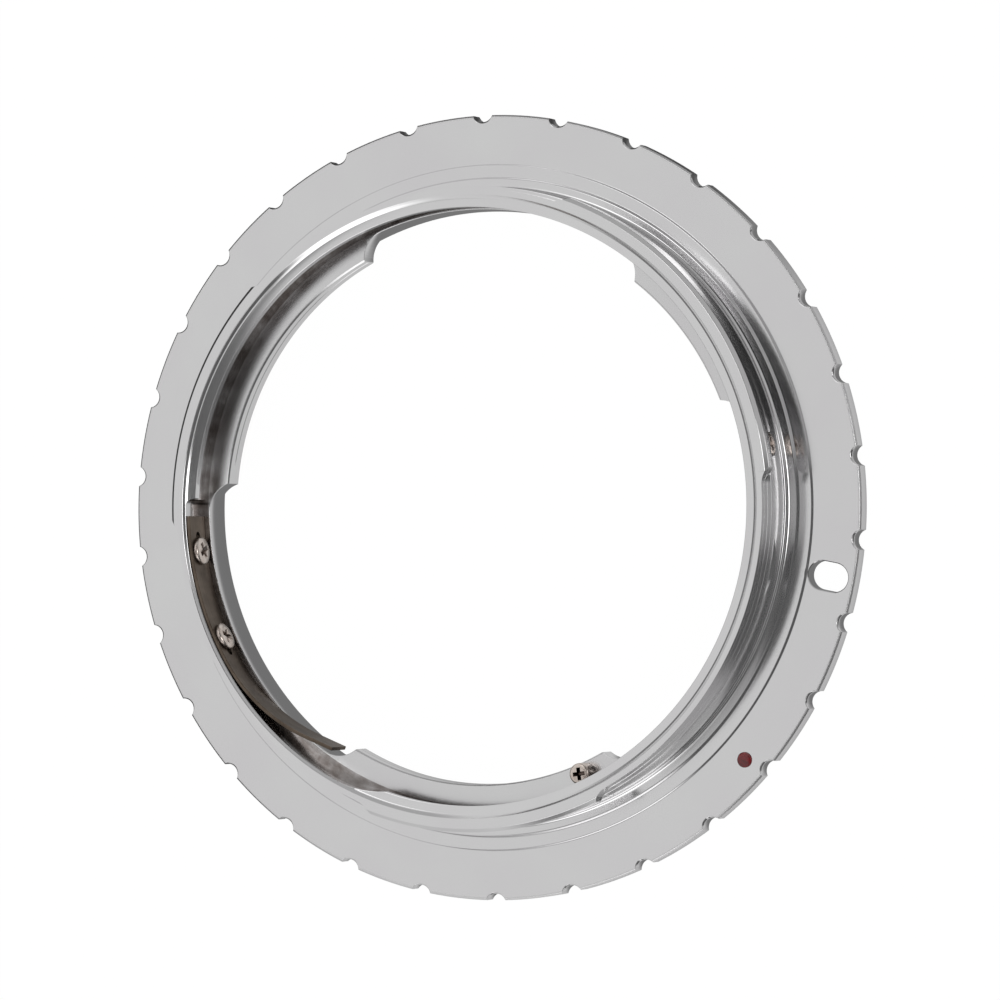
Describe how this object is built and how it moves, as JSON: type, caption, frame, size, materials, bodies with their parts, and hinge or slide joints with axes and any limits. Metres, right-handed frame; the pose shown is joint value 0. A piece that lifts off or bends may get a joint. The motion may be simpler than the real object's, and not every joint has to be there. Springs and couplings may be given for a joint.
{
  "type": "lens mount adapter",
  "caption": "Thin chromed ring that carries a bayonet-mount lens on a camera with another bayonet, with a leaf spring, stop screws, grip notches and a lock pin slot.",
  "frame": {"origin": "on the ring's axis, in the flat face on the lens side, which it lies on", "axes": "+Z along the ring's axis towards the camera side; +X towards the side with the lock pin slot and the camera stop screw"},
  "size_m": [0.065, 0.065, 0.007],
  "materials": {
    "chromed_ring": "satin chrome over turned and milled brass, with fine lathe marks",
    "spring_bronze": "dark brown oxidised bronze strip, lightly rubbed",
    "screw_nickel": "warm nickel plate, bright edges and a dark cross recess",
    "red_enamel": "dark red glossy enamel drop"
  },
  "bodies": {
    "root": {"mount_ring": "chromed_ring", "leaf_spring": "spring_bronze", "spring_screw_1": "screw_nickel", "spring_screw_2": "screw_nickel", "lens_stop_screw": "screw_nickel", "camera_stop_screw": "screw_nickel", "index_dot": "red_enamel"}
  },
  "joints": []
}
